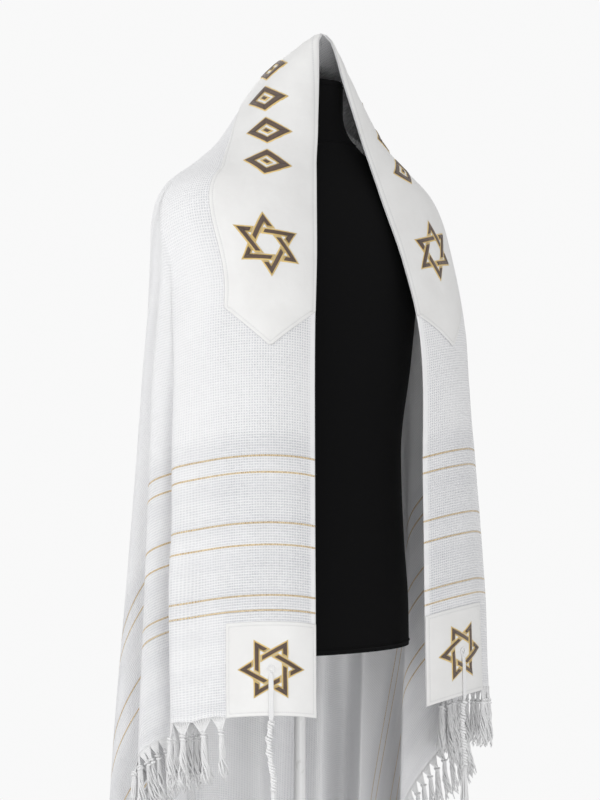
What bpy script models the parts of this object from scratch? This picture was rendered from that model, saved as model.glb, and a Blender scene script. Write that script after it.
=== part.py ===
"""A prayer shawl worn open over a limbless dress form, in metres, +Z up, wearer facing -Y.

The origin is the middle of the stand's underside. The shawl is one woven rectangle. A point of the cloth
is (u, v): u runs along the long top edge from the nape, v runs down from that edge to the back hem.
"""

import math
import random

import bmesh
import bpy
import numpy as np
from mathutils import Matrix, Vector
from mathutils.bvhtree import BVHTree

# Cloth, as cut
HALF_LENGTH = 0.92
WIDTH = 1.30
CLOTH = 0.0020
SEAM_GAP = 0.0003
SQUARE = 0.12
BAND_WIDTH = SQUARE
BAND_SIDE = 0.400
BAND_TIP = 0.452
SATIN = 0.0014

# Height of the nape's peak, and how far the cloth hangs from the nape before it turns the corner
PEAK = 1.79
CORNER_U = 0.22
CORNER_V = 0.20

# Fringe and corner strings
FRINGE_GAP = 0.0013
FRINGE_STRIP = 0.0025
KNOT_DROP = 0.017
KNOT_SIZE = 0.0060
TASSEL_LENGTH = 0.082
TASSEL_ROOM = 0.009
LOCK_TIP = 0.0040
KNOT_SLANT = 0.80
LEANS_AWAY = (0.2, 0.5, 0.8, 1.1)
LEANS_THROUGH = (0.0, 0.12, -0.12, 0.24, -0.24)
LEAN_SAMPLES = (0.2, 0.4, 0.6, 0.8, 1.0)
STRING_WIDTH = 0.0062
STRING_DEPTH = 0.0026
STRING_CLEAR_FRONT = 0.0006
STRING_CLEAR_REAR = 0.0050
STRING_HEAD = 0.007
STAND_OFF_REAR = 0.027
WOUND_LENGTH = 0.088
WOUND_STEPS = 8
WOUND_SWAY = 0.003
LOOSE_GRID = (4, 2)
LOOSE_ROOT = (0.0020, 0.0037)
LOOSE_SPREAD = (0.0075, 0.010)
LOOSE_WIDTH = 0.0018
LOOSE_LENGTH = 0.150

# Dress form and stand
POLE_RADIUS = 0.008
BASE_RADIUS = 0.170
BASE_HEIGHT = 0.010
FORM_BOTTOM_DROP = 0.842
REST_GAP = 0.0005
SHOULDER_ZONE = 0.30

# Half rings of the hanging cloth: the front edge, the widest place of each side and the middle of the back.
# Columns: drop, edge_x, edge_y, right_x, left_x, side_y, back_y
RINGS = (
    (0.000, 0.000, -0.052, 0.003, 0.003, -0.050, -0.047),
    (0.004, 0.006, -0.054, 0.010, 0.010, -0.046, -0.038),
    (0.014, 0.010, -0.057, 0.018, 0.018, -0.038, -0.018),
    (0.032, 0.014, -0.062, 0.034, 0.034, -0.026, 0.022),
    (0.055, 0.018, -0.067, 0.052, 0.052, -0.016, 0.062),
    (0.080, 0.023, -0.073, 0.069, 0.069, -0.008, 0.082),
    (0.113, 0.030, -0.081, 0.092, 0.092, -0.003, 0.094),
    (0.147, 0.037, -0.089, 0.118, 0.120, 0.004, 0.103),
    (0.176, 0.044, -0.096, 0.154, 0.160, 0.010, 0.112),
    (0.200, 0.049, -0.103, 0.190, 0.198, 0.014, 0.120),
    (0.225, 0.054, -0.110, 0.208, 0.220, 0.014, 0.128),
    (0.300, 0.070, -0.132, 0.216, 0.236, 0.010, 0.146),
    (0.400, 0.086, -0.150, 0.216, 0.248, 0.006, 0.168),
    (0.600, 0.089, -0.154, 0.213, 0.268, 0.002, 0.200),
    (0.800, 0.090, -0.157, 0.211, 0.284, 0.000, 0.224),
    (1.000, 0.091, -0.160, 0.213, 0.294, 0.000, 0.240),
    (1.600, 0.092, -0.160, 0.220, 0.300, 0.000, 0.256),
)

# Folds. Places: 0 front edge, 1 end of the front panel, 3 start of the back panel, 4 middle of the back.
# Columns: place, spread, depth, slide, start
FOLDS_RIGHT = (
    (0.64, 0.16, -0.016, 0.000, 0.62),
    (0.92, 0.16, 0.018, 0.014, 0.28),
    (1.21, 0.17, -0.056, -0.006, 0.26),
    (1.50, 0.16, 0.030, 0.004, 0.28),
    (1.84, 0.18, -0.064, 0.000, 0.34),
    (2.18, 0.18, 0.042, 0.008, 0.34),
    (2.52, 0.16, -0.090, -0.006, 0.38),
    (2.80, 0.15, 0.046, 0.004, 0.38),
    (3.06, 0.14, -0.070, 0.000, 0.36),
    (3.30, 0.14, 0.036, 0.000, 0.34),
    (3.54, 0.15, -0.048, 0.000, 0.36),
    (3.82, 0.15, 0.028, 0.000, 0.42),
)
FOLDS_LEFT = (
    (0.72, 0.17, -0.014, 0.000, 0.60),
    (0.97, 0.17, 0.016, 0.010, 0.30),
    (1.26, 0.17, -0.052, -0.004, 0.28),
    (1.56, 0.16, 0.028, 0.000, 0.30),
    (1.88, 0.16, -0.080, 0.000, 0.36),
    (2.24, 0.18, 0.040, 0.006, 0.36),
    (2.56, 0.16, -0.088, 0.000, 0.38),
    (2.84, 0.15, 0.046, 0.000, 0.38),
    (3.10, 0.14, -0.064, 0.000, 0.36),
    (3.34, 0.14, 0.036, 0.000, 0.36),
    (3.60, 0.16, -0.044, 0.000, 0.40),
)
FOLD_GROWTH = 1.05

# Dress form sections, from the neck down.
# Columns: drop, half_width, front_y, back_y, squareness
FORM = (
    (0.078, 0.052, -0.062, 0.042, 2.0),
    (0.100, 0.053, -0.062, 0.046, 2.0),
    (0.130, 0.056, -0.062, 0.056, 2.0),
    (0.152, 0.066, -0.066, 0.070, 2.1),
    (0.170, 0.088, -0.072, 0.082, 2.1),
    (0.190, 0.124, -0.080, 0.090, 2.2),
    (0.210, 0.154, -0.090, 0.094, 2.2),
    (0.235, 0.168, -0.102, 0.098, 2.2),
    (0.280, 0.170, -0.118, 0.102, 2.2),
    (0.360, 0.164, -0.130, 0.102, 2.2),
    (0.460, 0.152, -0.126, 0.096, 2.2),
    (0.580, 0.138, -0.116, 0.088, 2.2),
    (0.700, 0.144, -0.118, 0.094, 2.2),
    (0.780, 0.152, -0.120, 0.100, 2.2),
    (FORM_BOTTOM_DROP, 0.154, -0.120, 0.102, 2.2),
)
FORM_SIDES = 36

# Grid of the cloth: columns across one half, and rows, the first and last of them under the satin pieces
U_STOPS = (0.0, 0.035, BAND_SIDE, BAND_TIP, HALF_LENGTH - SQUARE, HALF_LENGTH)
U_STEPS = (3, 9, 2, 10, 2)
TOP_ROWS = 4
MIDDLE_ROWS = 26
LOW_ROWS = 2
ROWS = TOP_ROWS + MIDDLE_ROWS + LOW_ROWS

PLUMB = Vector((0, 0, -1))

COLOURS = {
    "wool": ((0.86, 0.86, 0.87), 0.85, 0.0),
    "satin": ((0.87, 0.86, 0.84), 0.42, 0.0),
    "yarn": ((0.86, 0.86, 0.86), 0.80, 0.0),
    "black_jersey": ((0.012, 0.012, 0.014), 0.90, 0.0),
    "white_steel": ((0.80, 0.80, 0.80), 0.40, 0.0),
}


def lerp(a, b, t):
    return a + (b - a) * t


def smooth(t):
    t = min(1.0, max(0.0, t))
    return t * t * (3 - 2 * t)


def smooth_table(rows):
    """Values between a table's rows, on monotone cubic curves, as a function of its first column."""
    table = np.array(rows, float)
    x, y = table[:, 0], table[:, 1:]
    slope = np.diff(y, axis=0) / np.diff(x)[:, None]
    tangent = np.vstack([slope[:1], (slope[:-1] + slope[1:]) / 2, slope[-1:]])
    tangent[1:-1][slope[:-1] * slope[1:] <= 0] = 0.0

    def value(at):
        at = min(max(at, x[0]), x[-1])
        k = min(int(np.searchsorted(x, at, "right")) - 1, len(x) - 2)
        h = x[k + 1] - x[k]
        t = (at - x[k]) / h
        return (
            (2 * t**3 - 3 * t**2 + 1) * y[k]
            + (t**3 - 2 * t**2 + t) * h * tangent[k]
            + (3 * t**2 - 2 * t**3) * y[k + 1]
            + (t**3 - t**2) * h * tangent[k + 1]
        )

    return value


ring_at = smooth_table(RINGS)
RING_SAMPLES = 48
DROP_SAMPLES = np.linspace(0.0, RINGS[-1][0], 161)


def ring_curve(drop, half):
    """Points of one half ring, from the front edge round the side to the middle of the back."""
    edge_x, edge_y, right_x, left_x, side_y, back_y = ring_at(drop)
    side_x = left_x if half == "left" else right_x
    angle = np.linspace(0.0, math.pi / 2, RING_SAMPLES)
    front = np.stack([lerp(edge_x, side_x, np.sin(angle)), lerp(edge_y, side_y, 1 - np.cos(angle))], 1)
    back = np.stack([side_x * np.cos(angle), lerp(side_y, back_y, np.sin(angle))], 1)
    return np.vstack([front, back[1:]])


def along(points):
    """Distance along a row of points."""
    return np.concatenate([[0.0], np.cumsum(np.linalg.norm(np.diff(points, axis=0), axis=1))])


SHARES = np.linspace(0.0, 1.0, 65)


class HalfRings:
    """The half rings of one side, each read at the same shares of its length."""

    def __init__(self, half):
        rows = []
        lengths = []
        for drop in DROP_SAMPLES:
            points = ring_curve(drop, half)
            s = along(points)
            share = s / s[-1]
            lengths.append(s[-1])
            rows.append(np.stack([np.interp(SHARES, share, points[:, k]) for k in (0, 1)], 1))
        self.plan = np.array(rows)
        self.lengths = np.array(lengths)
        drops = np.repeat(DROP_SAMPLES[:, None], len(SHARES), 1)
        steps = np.sqrt((np.diff(self.plan, axis=0) ** 2).sum(2) + np.diff(drops, axis=0) ** 2)
        self.paths = np.vstack([np.zeros(len(SHARES)), np.cumsum(steps, axis=0)])

    def point(self, drop, share):
        """The plan position at a drop and a share of the half ring."""
        row = min(drop / DROP_SAMPLES[-1], 1.0) * (len(DROP_SAMPLES) - 1)
        column = min(max(share, 0.0), 1.0) * (len(SHARES) - 1)
        r, c = min(int(row), len(DROP_SAMPLES) - 2), min(int(column), len(SHARES) - 2)
        near = lerp(self.plan[r, c], self.plan[r, c + 1], column - c)
        far = lerp(self.plan[r + 1, c], self.plan[r + 1, c + 1], column - c)
        return lerp(near, far, row - r)

    def drop(self, path, share):
        """How far below the peak a thread has come after this length, at a share of the ring."""
        column = min(max(share, 0.0), 1.0) * (len(SHARES) - 1)
        c = min(int(column), len(SHARES) - 2)
        lengths = lerp(self.paths[:, c], self.paths[:, c + 1], column - c)
        return float(np.interp(path, lengths, DROP_SAMPLES))


HALVES = {"right": HalfRings("right"), "left": HalfRings("left")}


def half_ring(path):
    """Length of the half ring about this far down the cloth."""
    return float(np.interp(max(path - 0.08, 0.05), DROP_SAMPLES, HALVES["right"].lengths))


def top_share(u, v):
    return math.atan2(v, u) / (math.pi / 2) if u + v > 1e-9 else 0.5


def front_share(u, v, path):
    turned = smooth((u - CORNER_U) / 0.16)
    return lerp(top_share(CORNER_U, v), v / half_ring(path), turned)


def back_share(u, v, path):
    turned = smooth((v - CORNER_V) / 0.30)
    return lerp(top_share(u, CORNER_V), 1 - 0.74 * u / half_ring(path), turned)


def hang(u, v):
    """Length of thread from the nape, share of the ring and fold place of the cloth's point, u positive."""
    reach = math.hypot(CORNER_U, CORNER_V)
    if u <= CORNER_U and v <= CORNER_V:
        share = top_share(u, v)
        return math.hypot(u, v), share, 4 * share
    if v <= CORNER_V:
        path = u + math.hypot(CORNER_U, v) - CORNER_U
        place = lerp(4 * top_share(CORNER_U, v), v / CORNER_V, smooth((u - CORNER_U) / 0.16))
        return path, front_share(u, v, path), place
    if u <= CORNER_U:
        path = v + math.hypot(CORNER_V, u) - CORNER_V
        place = lerp(4 * top_share(u, CORNER_V), 4 - u / CORNER_U, smooth((v - CORNER_V) / 0.16))
        return path, back_share(u, v, path), place
    radius = math.hypot(u - CORNER_U, v - CORNER_V)
    turn = math.atan2(v - CORNER_V, u - CORNER_U) / (math.pi / 2)
    path = reach + radius
    front = front_share(CORNER_U + radius, CORNER_V, path)
    back = back_share(CORNER_U, CORNER_V + radius, path)
    mix = smooth(radius / 0.16)
    corner_place = 4 * top_share(CORNER_U, CORNER_V)
    return path, lerp(front, back, turn), lerp(corner_place, 1 + 2 * turn, mix)


def cloth_point(u, v):
    """Where the cloth's point (u, v) hangs. Negative u is the wearer's right."""
    side = 1.0 if u >= 0 else -1.0
    folds = FOLDS_LEFT if u >= 0 else FOLDS_RIGHT
    rings = HALVES["left" if u >= 0 else "right"]
    path, share, place = hang(abs(u), v)
    drop = rings.drop(path, share)
    here = rings.point(drop, share)
    step = 0.01
    tangent = rings.point(drop, min(share + step, 1.0)) - rings.point(drop, max(share - step, 0.0))
    length = float(np.linalg.norm(tangent))
    tangent = tangent / length if length > 1e-9 else np.array([-1.0, 0.0])
    outward = np.array([-tangent[1], tangent[0]]) * -1.0
    for at, spread, depth, slide, start in folds:
        grown = smooth((path - start) / FOLD_GROWTH * 1.15)
        bump = math.exp(-(((place - at) / spread) ** 2)) * grown
        here = here + outward * (depth * bump) + tangent * (slide * bump)
    return np.array([0.0 if u == 0 else side * here[0], here[1], PEAK - drop])


def stops(marks, steps):
    """Grid lines between named marks."""
    lines = [marks[0]]
    for a, b, n in zip(marks, marks[1:], steps):
        lines += [lerp(a, b, (k + 1) / n) for k in range(n)]
    return lines


HALF_U = stops(U_STOPS, U_STEPS)
U_LINES = [-u for u in reversed(HALF_U[1:])] + HALF_U
COLUMNS = len(U_LINES) - 1


V_LINES = stops((0.0, SQUARE, WIDTH - SQUARE, WIDTH), (TOP_ROWS, MIDDLE_ROWS, LOW_ROWS))


def cell_triangles(i, j):
    """The two triangles of a cell, split along the folds and along the band's pointed ends."""
    a, b, c, d = (i, j), (i + 1, j), (i + 1, j + 1), (i, j + 1)
    wearers_left = U_LINES[i] >= 0
    towards_tip = j < TOP_ROWS / 2
    below_band = j >= TOP_ROWS
    leans = wearers_left == (towards_tip or below_band)
    return ((a, b, c), (a, c, d)) if leans else ((a, b, d), (b, c, d))


def surface(name, points, triangles):
    """A mesh of the listed triangles of the cloth's grid, its faces looking out."""
    keys = sorted({key for triangle in triangles for key in triangle})
    mesh = bmesh.new()
    corner = {key: mesh.verts.new(points[key]) for key in keys}
    for triangle in triangles:
        mesh.faces.new([corner[key] for key in triangle])
    data = bpy.data.meshes.new(name)
    mesh.to_mesh(data)
    mesh.free()
    return data


def cloth_grid():
    """Grid points of the cloth and the outward normal at each."""
    points = np.array([[cloth_point(u, v) for v in V_LINES] for u in U_LINES])
    data = surface("grid", points, triangles_between(0, COLUMNS, 0, ROWS))
    normals = np.array([vertex.normal for vertex in data.vertices]).reshape(points.shape)
    bpy.data.meshes.remove(data)
    return points, normals


def wall(name, points, normals, triangles, start, thickness, material):
    """A wall of cloth, from a distance outside the grid's surface outward."""
    data = surface(name, points + normals * start, triangles)
    data.materials.append(materials[material])
    obj = bpy.data.objects.new(name, data)
    parts.objects.link(obj)
    solidify = obj.modifiers.new("thickness", "SOLIDIFY")
    solidify.thickness = thickness
    solidify.offset = 1
    return obj


def finish(name, mesh, material):
    """Makes an object of a closed bmesh, with faces pointing out."""
    bmesh.ops.recalc_face_normals(mesh, faces=mesh.faces)
    data = bpy.data.meshes.new(name)
    mesh.to_mesh(data)
    mesh.free()
    data.materials.append(materials[material])
    obj = bpy.data.objects.new(name, data)
    parts.objects.link(obj)
    return obj


def triangles_between(first_column, last_column, first_row, last_row):
    """Triangles of the grid between two columns and two rows."""
    columns = range(first_column, last_column)
    rows = range(first_row, last_row)
    return [t for i in columns for j in rows for t in cell_triangles(i, j)]


def under_band(triangle):
    """Whether the middle of a triangle lies under the neckband, which is pointed at both ends."""
    u = abs(sum(U_LINES[i] for i, row in triangle) / 3)
    v = sum(V_LINES[row] for i, row in triangle) / 3
    taper = min(1.0, (BAND_TIP - u) / (BAND_TIP - BAND_SIDE))
    return abs(v - BAND_WIDTH / 2) < BAND_WIDTH / 2 * taper


def join(mesh, a, b):
    """Sides between two rings of equally many vertices."""
    n = len(a)
    for k in range(n):
        mesh.faces.new([a[k], a[(k + 1) % n], b[(k + 1) % n], b[k]])


def fringe(name, sign, points, normals, cloth, rng):
    """A narrow strip along one short side, with a knotted tassel of two locks under each half cell."""
    column = 0 if sign < 0 else COLUMNS
    first, last = TOP_ROWS, TOP_ROWS + MIDDLE_ROWS
    frames = []
    for row in range(first, last + 1):
        edge = points[column, row + 1] - points[column, row - 1]
        away = np.cross(edge, normals[column, row]) * sign
        frames.append((points[column, row], away / np.linalg.norm(away), normals[column, row]))
    halfway = [tuple((p + q) / 2 for p, q in zip(a, b)) for a, b in zip(frames, frames[1:])]
    frames = [frame for pair in zip(frames, halfway) for frame in pair] + frames[-1:]
    mesh = bmesh.new()
    rings = []
    for point, away, normal in frames:
        top, low = point + away * FRINGE_GAP, point + away * (FRINGE_GAP + FRINGE_STRIP)
        corners = [top, top + normal * CLOTH, low + normal * CLOTH, low]
        rings.append([mesh.verts.new(c) for c in corners])
    for a, b, (point, away, normal) in zip(rings, rings[1:], frames):
        for k in (0, 1, 3):
            mesh.faces.new([a[k], a[(k + 1) % 4], b[(k + 1) % 4], b[k]])
        tassel(mesh, [a[2], b[2], b[3], a[3]], Vector(away), cloth, rng)
    mesh.faces.new(rings[0])
    mesh.faces.new(rings[-1][::-1])
    return finish(name, mesh, "yarn")


def clear_lean(cloth, root, away, through):
    """The least lean from plumb at which a tassel hangs clear of the cloth."""
    leans = [away * a + through * b for a in LEANS_AWAY for b in LEANS_THROUGH]
    for lean in leans:
        hangs = [root + (PLUMB + lean) * (TASSEL_LENGTH * share) for share in LEAN_SAMPLES]
        if all(cloth.find_nearest(point)[3] > TASSEL_ROOM for point in hangs):
            return lean
    return LEANS_AWAY[-1] * away


def box_ring(mesh, centre, wide_way, deep_way, wide, deep, signs=((-1, 1), (1, 1), (1, -1), (-1, -1))):
    """Vertices at the corners of a rectangle, or at the given shares of its half sides."""
    return [
        mesh.verts.new(centre + wide_way * (a * wide / 2) + deep_way * (b * deep / 2))
        for a, b in signs
    ]


def tassel(mesh, root, down, cloth, rng):
    """A tassel grown from a face of the strip: warp ends drawn into a knot, and two locks below it."""
    centre = sum((v.co for v in root), Vector()) / 4
    across = root[1].co - root[0].co
    across.z = 0
    across.normalize()
    through = Vector((-across.y, across.x, 0))
    if through.dot(root[0].co - root[3].co) < 0:
        through = -through
    knot = centre + (Vector(down) * KNOT_SLANT + PLUMB * (1 - KNOT_SLANT)) * KNOT_DROP
    lean = clear_lean(cloth, knot, Vector((down[0], down[1], 0)), through)
    lean += across * rng.uniform(-0.03, 0.03)
    top = box_ring(mesh, knot, across, through, KNOT_SIZE, KNOT_SIZE)
    join(mesh, root, top)
    split = knot + PLUMB * KNOT_SIZE
    low = box_ring(mesh, split, across, through, KNOT_SIZE, KNOT_SIZE)
    front, back = box_ring(mesh, split, across, through, KNOT_SIZE, KNOT_SIZE, ((0, 1), (0, -1)))
    mesh.faces.new([top[0], top[1], low[1], front, low[0]])
    mesh.faces.new([top[1], top[2], low[2], low[1]])
    mesh.faces.new([top[2], top[3], low[3], back, low[2]])
    mesh.faces.new([top[3], top[0], low[0], low[3]])
    for edge, ring in ((-1, [low[0], front, back, low[3]]), (1, [front, low[1], low[2], back])):
        reach = TASSEL_LENGTH * rng.uniform(0.86, 1.0) - KNOT_DROP - KNOT_SIZE
        tip = split + PLUMB * reach + across * (edge * rng.uniform(0.004, 0.007))
        tip += lean * reach + through * rng.uniform(-0.003, 0.003)
        end = box_ring(mesh, tip, across, through, LOCK_TIP, LOCK_TIP)
        join(mesh, ring, end)
        mesh.faces.new(end)


def string_strand(mesh, edge, hole, down, across, lift, quad):
    """One strand of a corner string, from the head up over the edge to the hole, on one face of the cloth."""
    (edge_point, edge_normal), (hole_point, hole_normal) = edge, hole
    below = edge_point + down * 0.0030 + edge_normal * lift
    above = edge_point - down * 0.0040 + edge_normal * lift
    signs = ((-1, -1), (1, -1), (1, 1), (-1, 1))
    through_hole = hole_point + hole_normal * lift
    rings = [
        quad,
        box_ring(mesh, below, across, edge_normal, STRING_WIDTH * 0.8, STRING_DEPTH, signs),
        box_ring(mesh, above, across, edge_normal, STRING_WIDTH * 0.7, STRING_DEPTH, signs),
        box_ring(mesh, through_hole, across, hole_normal, STRING_WIDTH * 0.7, STRING_DEPTH, signs),
    ]
    for a, b in zip(rings, rings[1:]):
        join(mesh, a, b)
    mesh.faces.new(rings[-1])


def wound_part(mesh, top, head, across, through, stand_off):
    """The knotted and wound length of a corner string, down to a ring of six vertices."""
    pairs = ((-1, -1), (1, -1), (1, 0), (1, 1), (-1, 1), (-1, 0))
    previous = top
    for k in range(WOUND_STEPS):
        t = (k + 0.6) / WOUND_STEPS
        size = STRING_WIDTH * (1.25 if k % 2 == 0 else 0.92)
        sway = across * (WOUND_SWAY * math.sin(5 * t)) + through * (stand_off * smooth(3 * t))
        current = box_ring(mesh, head + PLUMB * (WOUND_LENGTH * t) + sway, across, through, size, size, pairs)
        join(mesh, previous, current)
        previous = current
    return previous


def loose_strands(mesh, last, centre, across, through, rng):
    """The loose strands below the winding, each grown from one cell of a small grid that closes it."""
    wide, deep = LOOSE_GRID
    root_wide, root_deep = LOOSE_ROOT
    grid = {}
    for a in range(wide + 1):
        for b in range(deep + 1):
            place = across * ((a - wide / 2) * root_wide) + through * ((b - deep / 2) * root_deep)
            grid[a, b] = mesh.verts.new(centre + place)
    near = [grid[a, 0] for a in range(wide + 1)]
    far = [grid[a, deep] for a in range(wide + 1)]
    mesh.faces.new([last[0], last[1], *reversed(near)])
    mesh.faces.new([last[1], last[2], grid[wide, 1], grid[wide, 0]])
    mesh.faces.new([last[2], last[3], grid[wide, deep], grid[wide, 1]])
    mesh.faces.new([last[3], last[4], *far])
    mesh.faces.new([last[4], last[5], grid[0, 1], grid[0, deep]])
    mesh.faces.new([last[5], last[0], grid[0, 0], grid[0, 1]])
    spread_wide, spread_deep = LOOSE_SPREAD
    signs = ((-1, -1), (1, -1), (1, 1), (-1, 1))
    for a in range(wide):
        for b in range(deep):
            offset = across * ((a - (wide - 1) / 2) * spread_wide)
            offset += through * ((b - (deep - 1) / 2) * spread_deep)
            previous = [grid[a, b], grid[a + 1, b], grid[a + 1, b + 1], grid[a, b + 1]]
            reach = LOOSE_LENGTH * rng.uniform(0.88, 1.0)
            for share in (0.45, 1.0):
                middle = centre + PLUMB * (reach * share) + offset * (0.35 + 0.65 * share)
                current = box_ring(mesh, middle, across, through, LOOSE_WIDTH, LOOSE_WIDTH, signs)
                join(mesh, previous, current)
                previous = current
            mesh.faces.new(previous)


def corner_string(name, side, near_front, points, normals, rng):
    """Ritual string of one corner: from the hole over the edge, wound, then eight loose strands."""
    column = COLUMNS if side > 0 else 0
    row = TOP_ROWS // 2 if near_front else ROWS - LOW_ROWS // 2
    edge = Vector(points[column, row]), Vector(normals[column, row])
    hole = Vector(points[column - side, row]), Vector(normals[column - side, row])
    down = (edge[0] - hole[0]).normalized()
    across = down.cross(edge[1]).normalized()
    clear = STRING_CLEAR_FRONT if near_front else STRING_CLEAR_REAR
    outer = CLOTH + SEAM_GAP + SATIN + clear
    inner = -clear
    mesh = bmesh.new()
    head = edge[0] + down * STRING_HEAD + edge[1] * ((outer + inner) / 2)
    stand_off = 0.0 if near_front else STAND_OFF_REAR
    signs = ((-1, -1), (1, -1), (1, 1), (-1, 1))
    neck = box_ring(mesh, head, across, edge[1], STRING_WIDTH, outer - inner + 2 * STRING_DEPTH, signs)
    mid = box_ring(mesh, head, across, edge[1], STRING_WIDTH, 0, ((-1, 0), (1, 0)))
    outer_quad = [mid[0], mid[1], neck[2], neck[3]]
    inner_quad = [neck[0], neck[1], mid[1], mid[0]]
    string_strand(mesh, edge, hole, down, across, outer + STRING_DEPTH / 2, outer_quad)
    string_strand(mesh, edge, hole, down, across, inner - STRING_DEPTH / 2, inner_quad)
    level = Vector((across.x, across.y, 0)).normalized()
    through = Vector((-level.y, level.x, 0))
    if through.dot(edge[1]) < 0:
        through = -through
    loop = [neck[0], neck[1], mid[1], neck[2], neck[3], mid[0]]
    last = wound_part(mesh, loop, head, level, through, stand_off)
    centre = head + PLUMB * (WOUND_LENGTH + 0.004) + through * stand_off
    loose_strands(mesh, last, centre, level, through, rng)
    return finish(name, mesh, "yarn")


def form_ring(drop, half_width, front_y, back_y, squareness):
    """One section of the dress form, a superellipse with its own depth in front and behind."""
    ring = []
    for k in range(FORM_SIDES):
        angle = 2 * math.pi * k / FORM_SIDES
        c, s = math.cos(angle), math.sin(angle)
        power = 2 / squareness
        x = half_width * math.copysign(abs(c) ** power, c)
        middle = (front_y + back_y) / 2
        y = middle + (back_y - front_y) / 2 * math.copysign(abs(s) ** power, s)
        ring.append((x, y, PEAK - drop))
    return ring


def loft(name, rings, material):
    """A closed solid through a stack of rings."""
    mesh = bmesh.new()
    rows = [[mesh.verts.new(p) for p in ring] for ring in rings]
    for a, b in zip(rows, rows[1:]):
        join(mesh, a, b)
    mesh.faces.new(rows[0])
    mesh.faces.new(rows[-1][::-1])
    obj = finish(name, mesh, material)
    obj.data.shade_smooth()
    return obj


def surface_tree(obj):
    """The finished surface of an object, for finding what lies near it."""
    return BVHTree.FromObject(obj, bpy.context.evaluated_depsgraph_get())


def lift_under(obj, cloth):
    """How far an object can rise until it lies the rest gap below the cloth."""
    hits = []
    for vertex in obj.data.vertices:
        if vertex.co.z < PEAK - SHOULDER_ZONE:
            continue
        found = cloth.ray_cast(vertex.co, -PLUMB)
        if found[0] is not None:
            hits.append(found[3])
    return min(hits) - REST_GAP


def cylinder(name, radius, low, high, material, sides):
    """An upright cylinder on the stand's axis."""
    middle = (0, 0, (low + high) / 2)
    bpy.ops.mesh.primitive_cylinder_add(vertices=sides, radius=radius, depth=high - low, location=middle)
    obj = bpy.context.object
    obj.name = name
    obj.data.materials.append(materials[material])
    for collection in list(obj.users_collection):
        collection.objects.unlink(obj)
    parts.objects.link(obj)
    return obj


def make_materials():
    """One material for each kind of stuff."""
    made = {}
    for name, (colour, roughness, metallic) in COLOURS.items():
        material = bpy.data.materials.new(name)
        material.use_nodes = True
        shader = material.node_tree.nodes["Principled BSDF"]
        shader.inputs["Base Color"].default_value = (*colour, 1)
        shader.inputs["Roughness"].default_value = roughness
        shader.inputs["Metallic"].default_value = metallic
        made[name] = material
    return made


def make_shawl():
    """The woven rectangle, the satin pieces sewn on it, its fringes and the corner strings."""
    points, normals = cloth_grid()
    shawl = wall("shawl", points, normals, triangles_between(0, COLUMNS, 0, ROWS), 0.0, CLOTH, "wool")
    cloth = surface_tree(shawl)
    sewn_on = CLOTH + SEAM_GAP
    band = [t for t in triangles_between(0, COLUMNS, 0, TOP_ROWS) if under_band(t)]
    wall("neckband", points, normals, band, sewn_on, SATIN, "satin")
    square_columns = U_STEPS[-1]
    sides = (("right", -1, 0, square_columns, 11), ("left", 1, COLUMNS - square_columns, COLUMNS, 12))
    ends = (("front", 0, TOP_ROWS), ("rear", ROWS - LOW_ROWS, ROWS))
    for side, sign, first_column, last_column, seed in sides:
        fringe(f"fringe_{side}", sign, points, normals, cloth, random.Random(seed))
        for end, first_row, last_row in ends:
            square = triangles_between(first_column, last_column, first_row, last_row)
            wall(f"corner_{end}_{side}", points, normals, square, sewn_on, SATIN, "satin")
            string_seed = random.Random(seed + len(end))
            corner_string(f"string_{end}_{side}", sign, end == "front", points, normals, string_seed)
    return cloth


def make_form(cloth):
    """The dress form, raised until the cloth's shoulders rest on it."""
    form = loft("dress_form", [form_ring(*row) for row in FORM], "black_jersey")
    rise = lift_under(form, cloth)
    form.data.transform(Matrix.Translation((0, 0, rise)))
    return rise


def main():
    for obj in list(bpy.data.objects):
        bpy.data.objects.remove(obj)
    cloth = make_shawl()
    rise = make_form(cloth)
    top = PEAK - FORM_BOTTOM_DROP + rise
    cylinder("stand_pole", POLE_RADIUS, BASE_HEIGHT + SEAM_GAP, top - SEAM_GAP, "white_steel", 24)
    cylinder("stand_base", BASE_RADIUS, 0.0, BASE_HEIGHT, "white_steel", 48)


parts = bpy.data.collections.new("prayer_shawl")
bpy.context.scene.collection.children.link(parts)
materials = make_materials()
main()
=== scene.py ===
"""Looks of the prayer shawl on its dress form: woven cloth, satin, embroidery, fringes, strings and stand."""

import math
import random

import bmesh
import bpy
import numpy as np
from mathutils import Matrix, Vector
from mathutils.bvhtree import BVHTree


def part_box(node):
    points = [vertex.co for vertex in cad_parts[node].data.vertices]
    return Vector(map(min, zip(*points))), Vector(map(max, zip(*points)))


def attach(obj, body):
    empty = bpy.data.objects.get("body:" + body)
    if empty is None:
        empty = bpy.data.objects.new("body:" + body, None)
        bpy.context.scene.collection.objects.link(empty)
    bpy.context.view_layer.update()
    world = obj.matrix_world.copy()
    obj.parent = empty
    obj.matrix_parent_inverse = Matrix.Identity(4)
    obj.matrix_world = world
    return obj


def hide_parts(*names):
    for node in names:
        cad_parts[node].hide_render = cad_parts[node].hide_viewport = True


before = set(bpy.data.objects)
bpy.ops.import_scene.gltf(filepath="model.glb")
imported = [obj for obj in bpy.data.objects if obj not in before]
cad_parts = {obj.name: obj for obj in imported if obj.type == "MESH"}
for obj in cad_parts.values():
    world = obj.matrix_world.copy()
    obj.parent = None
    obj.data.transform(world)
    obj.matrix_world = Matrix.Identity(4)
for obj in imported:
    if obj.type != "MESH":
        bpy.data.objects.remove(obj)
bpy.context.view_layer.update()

# Cloth, as cut, in metres: u runs along the top edge from the nape, v down from that edge
HALF_LENGTH = 0.92
WIDTH = 1.30
PEAK = 1.79
CORNER_U = 0.22
CORNER_V = 0.20
BAND_WIDTH = 0.12
BAND_SIDE = 0.400
BAND_TIP = 0.452
SQUARE = 0.12
SQUARE_CENTRE = HALF_LENGTH - SQUARE / 2
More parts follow.
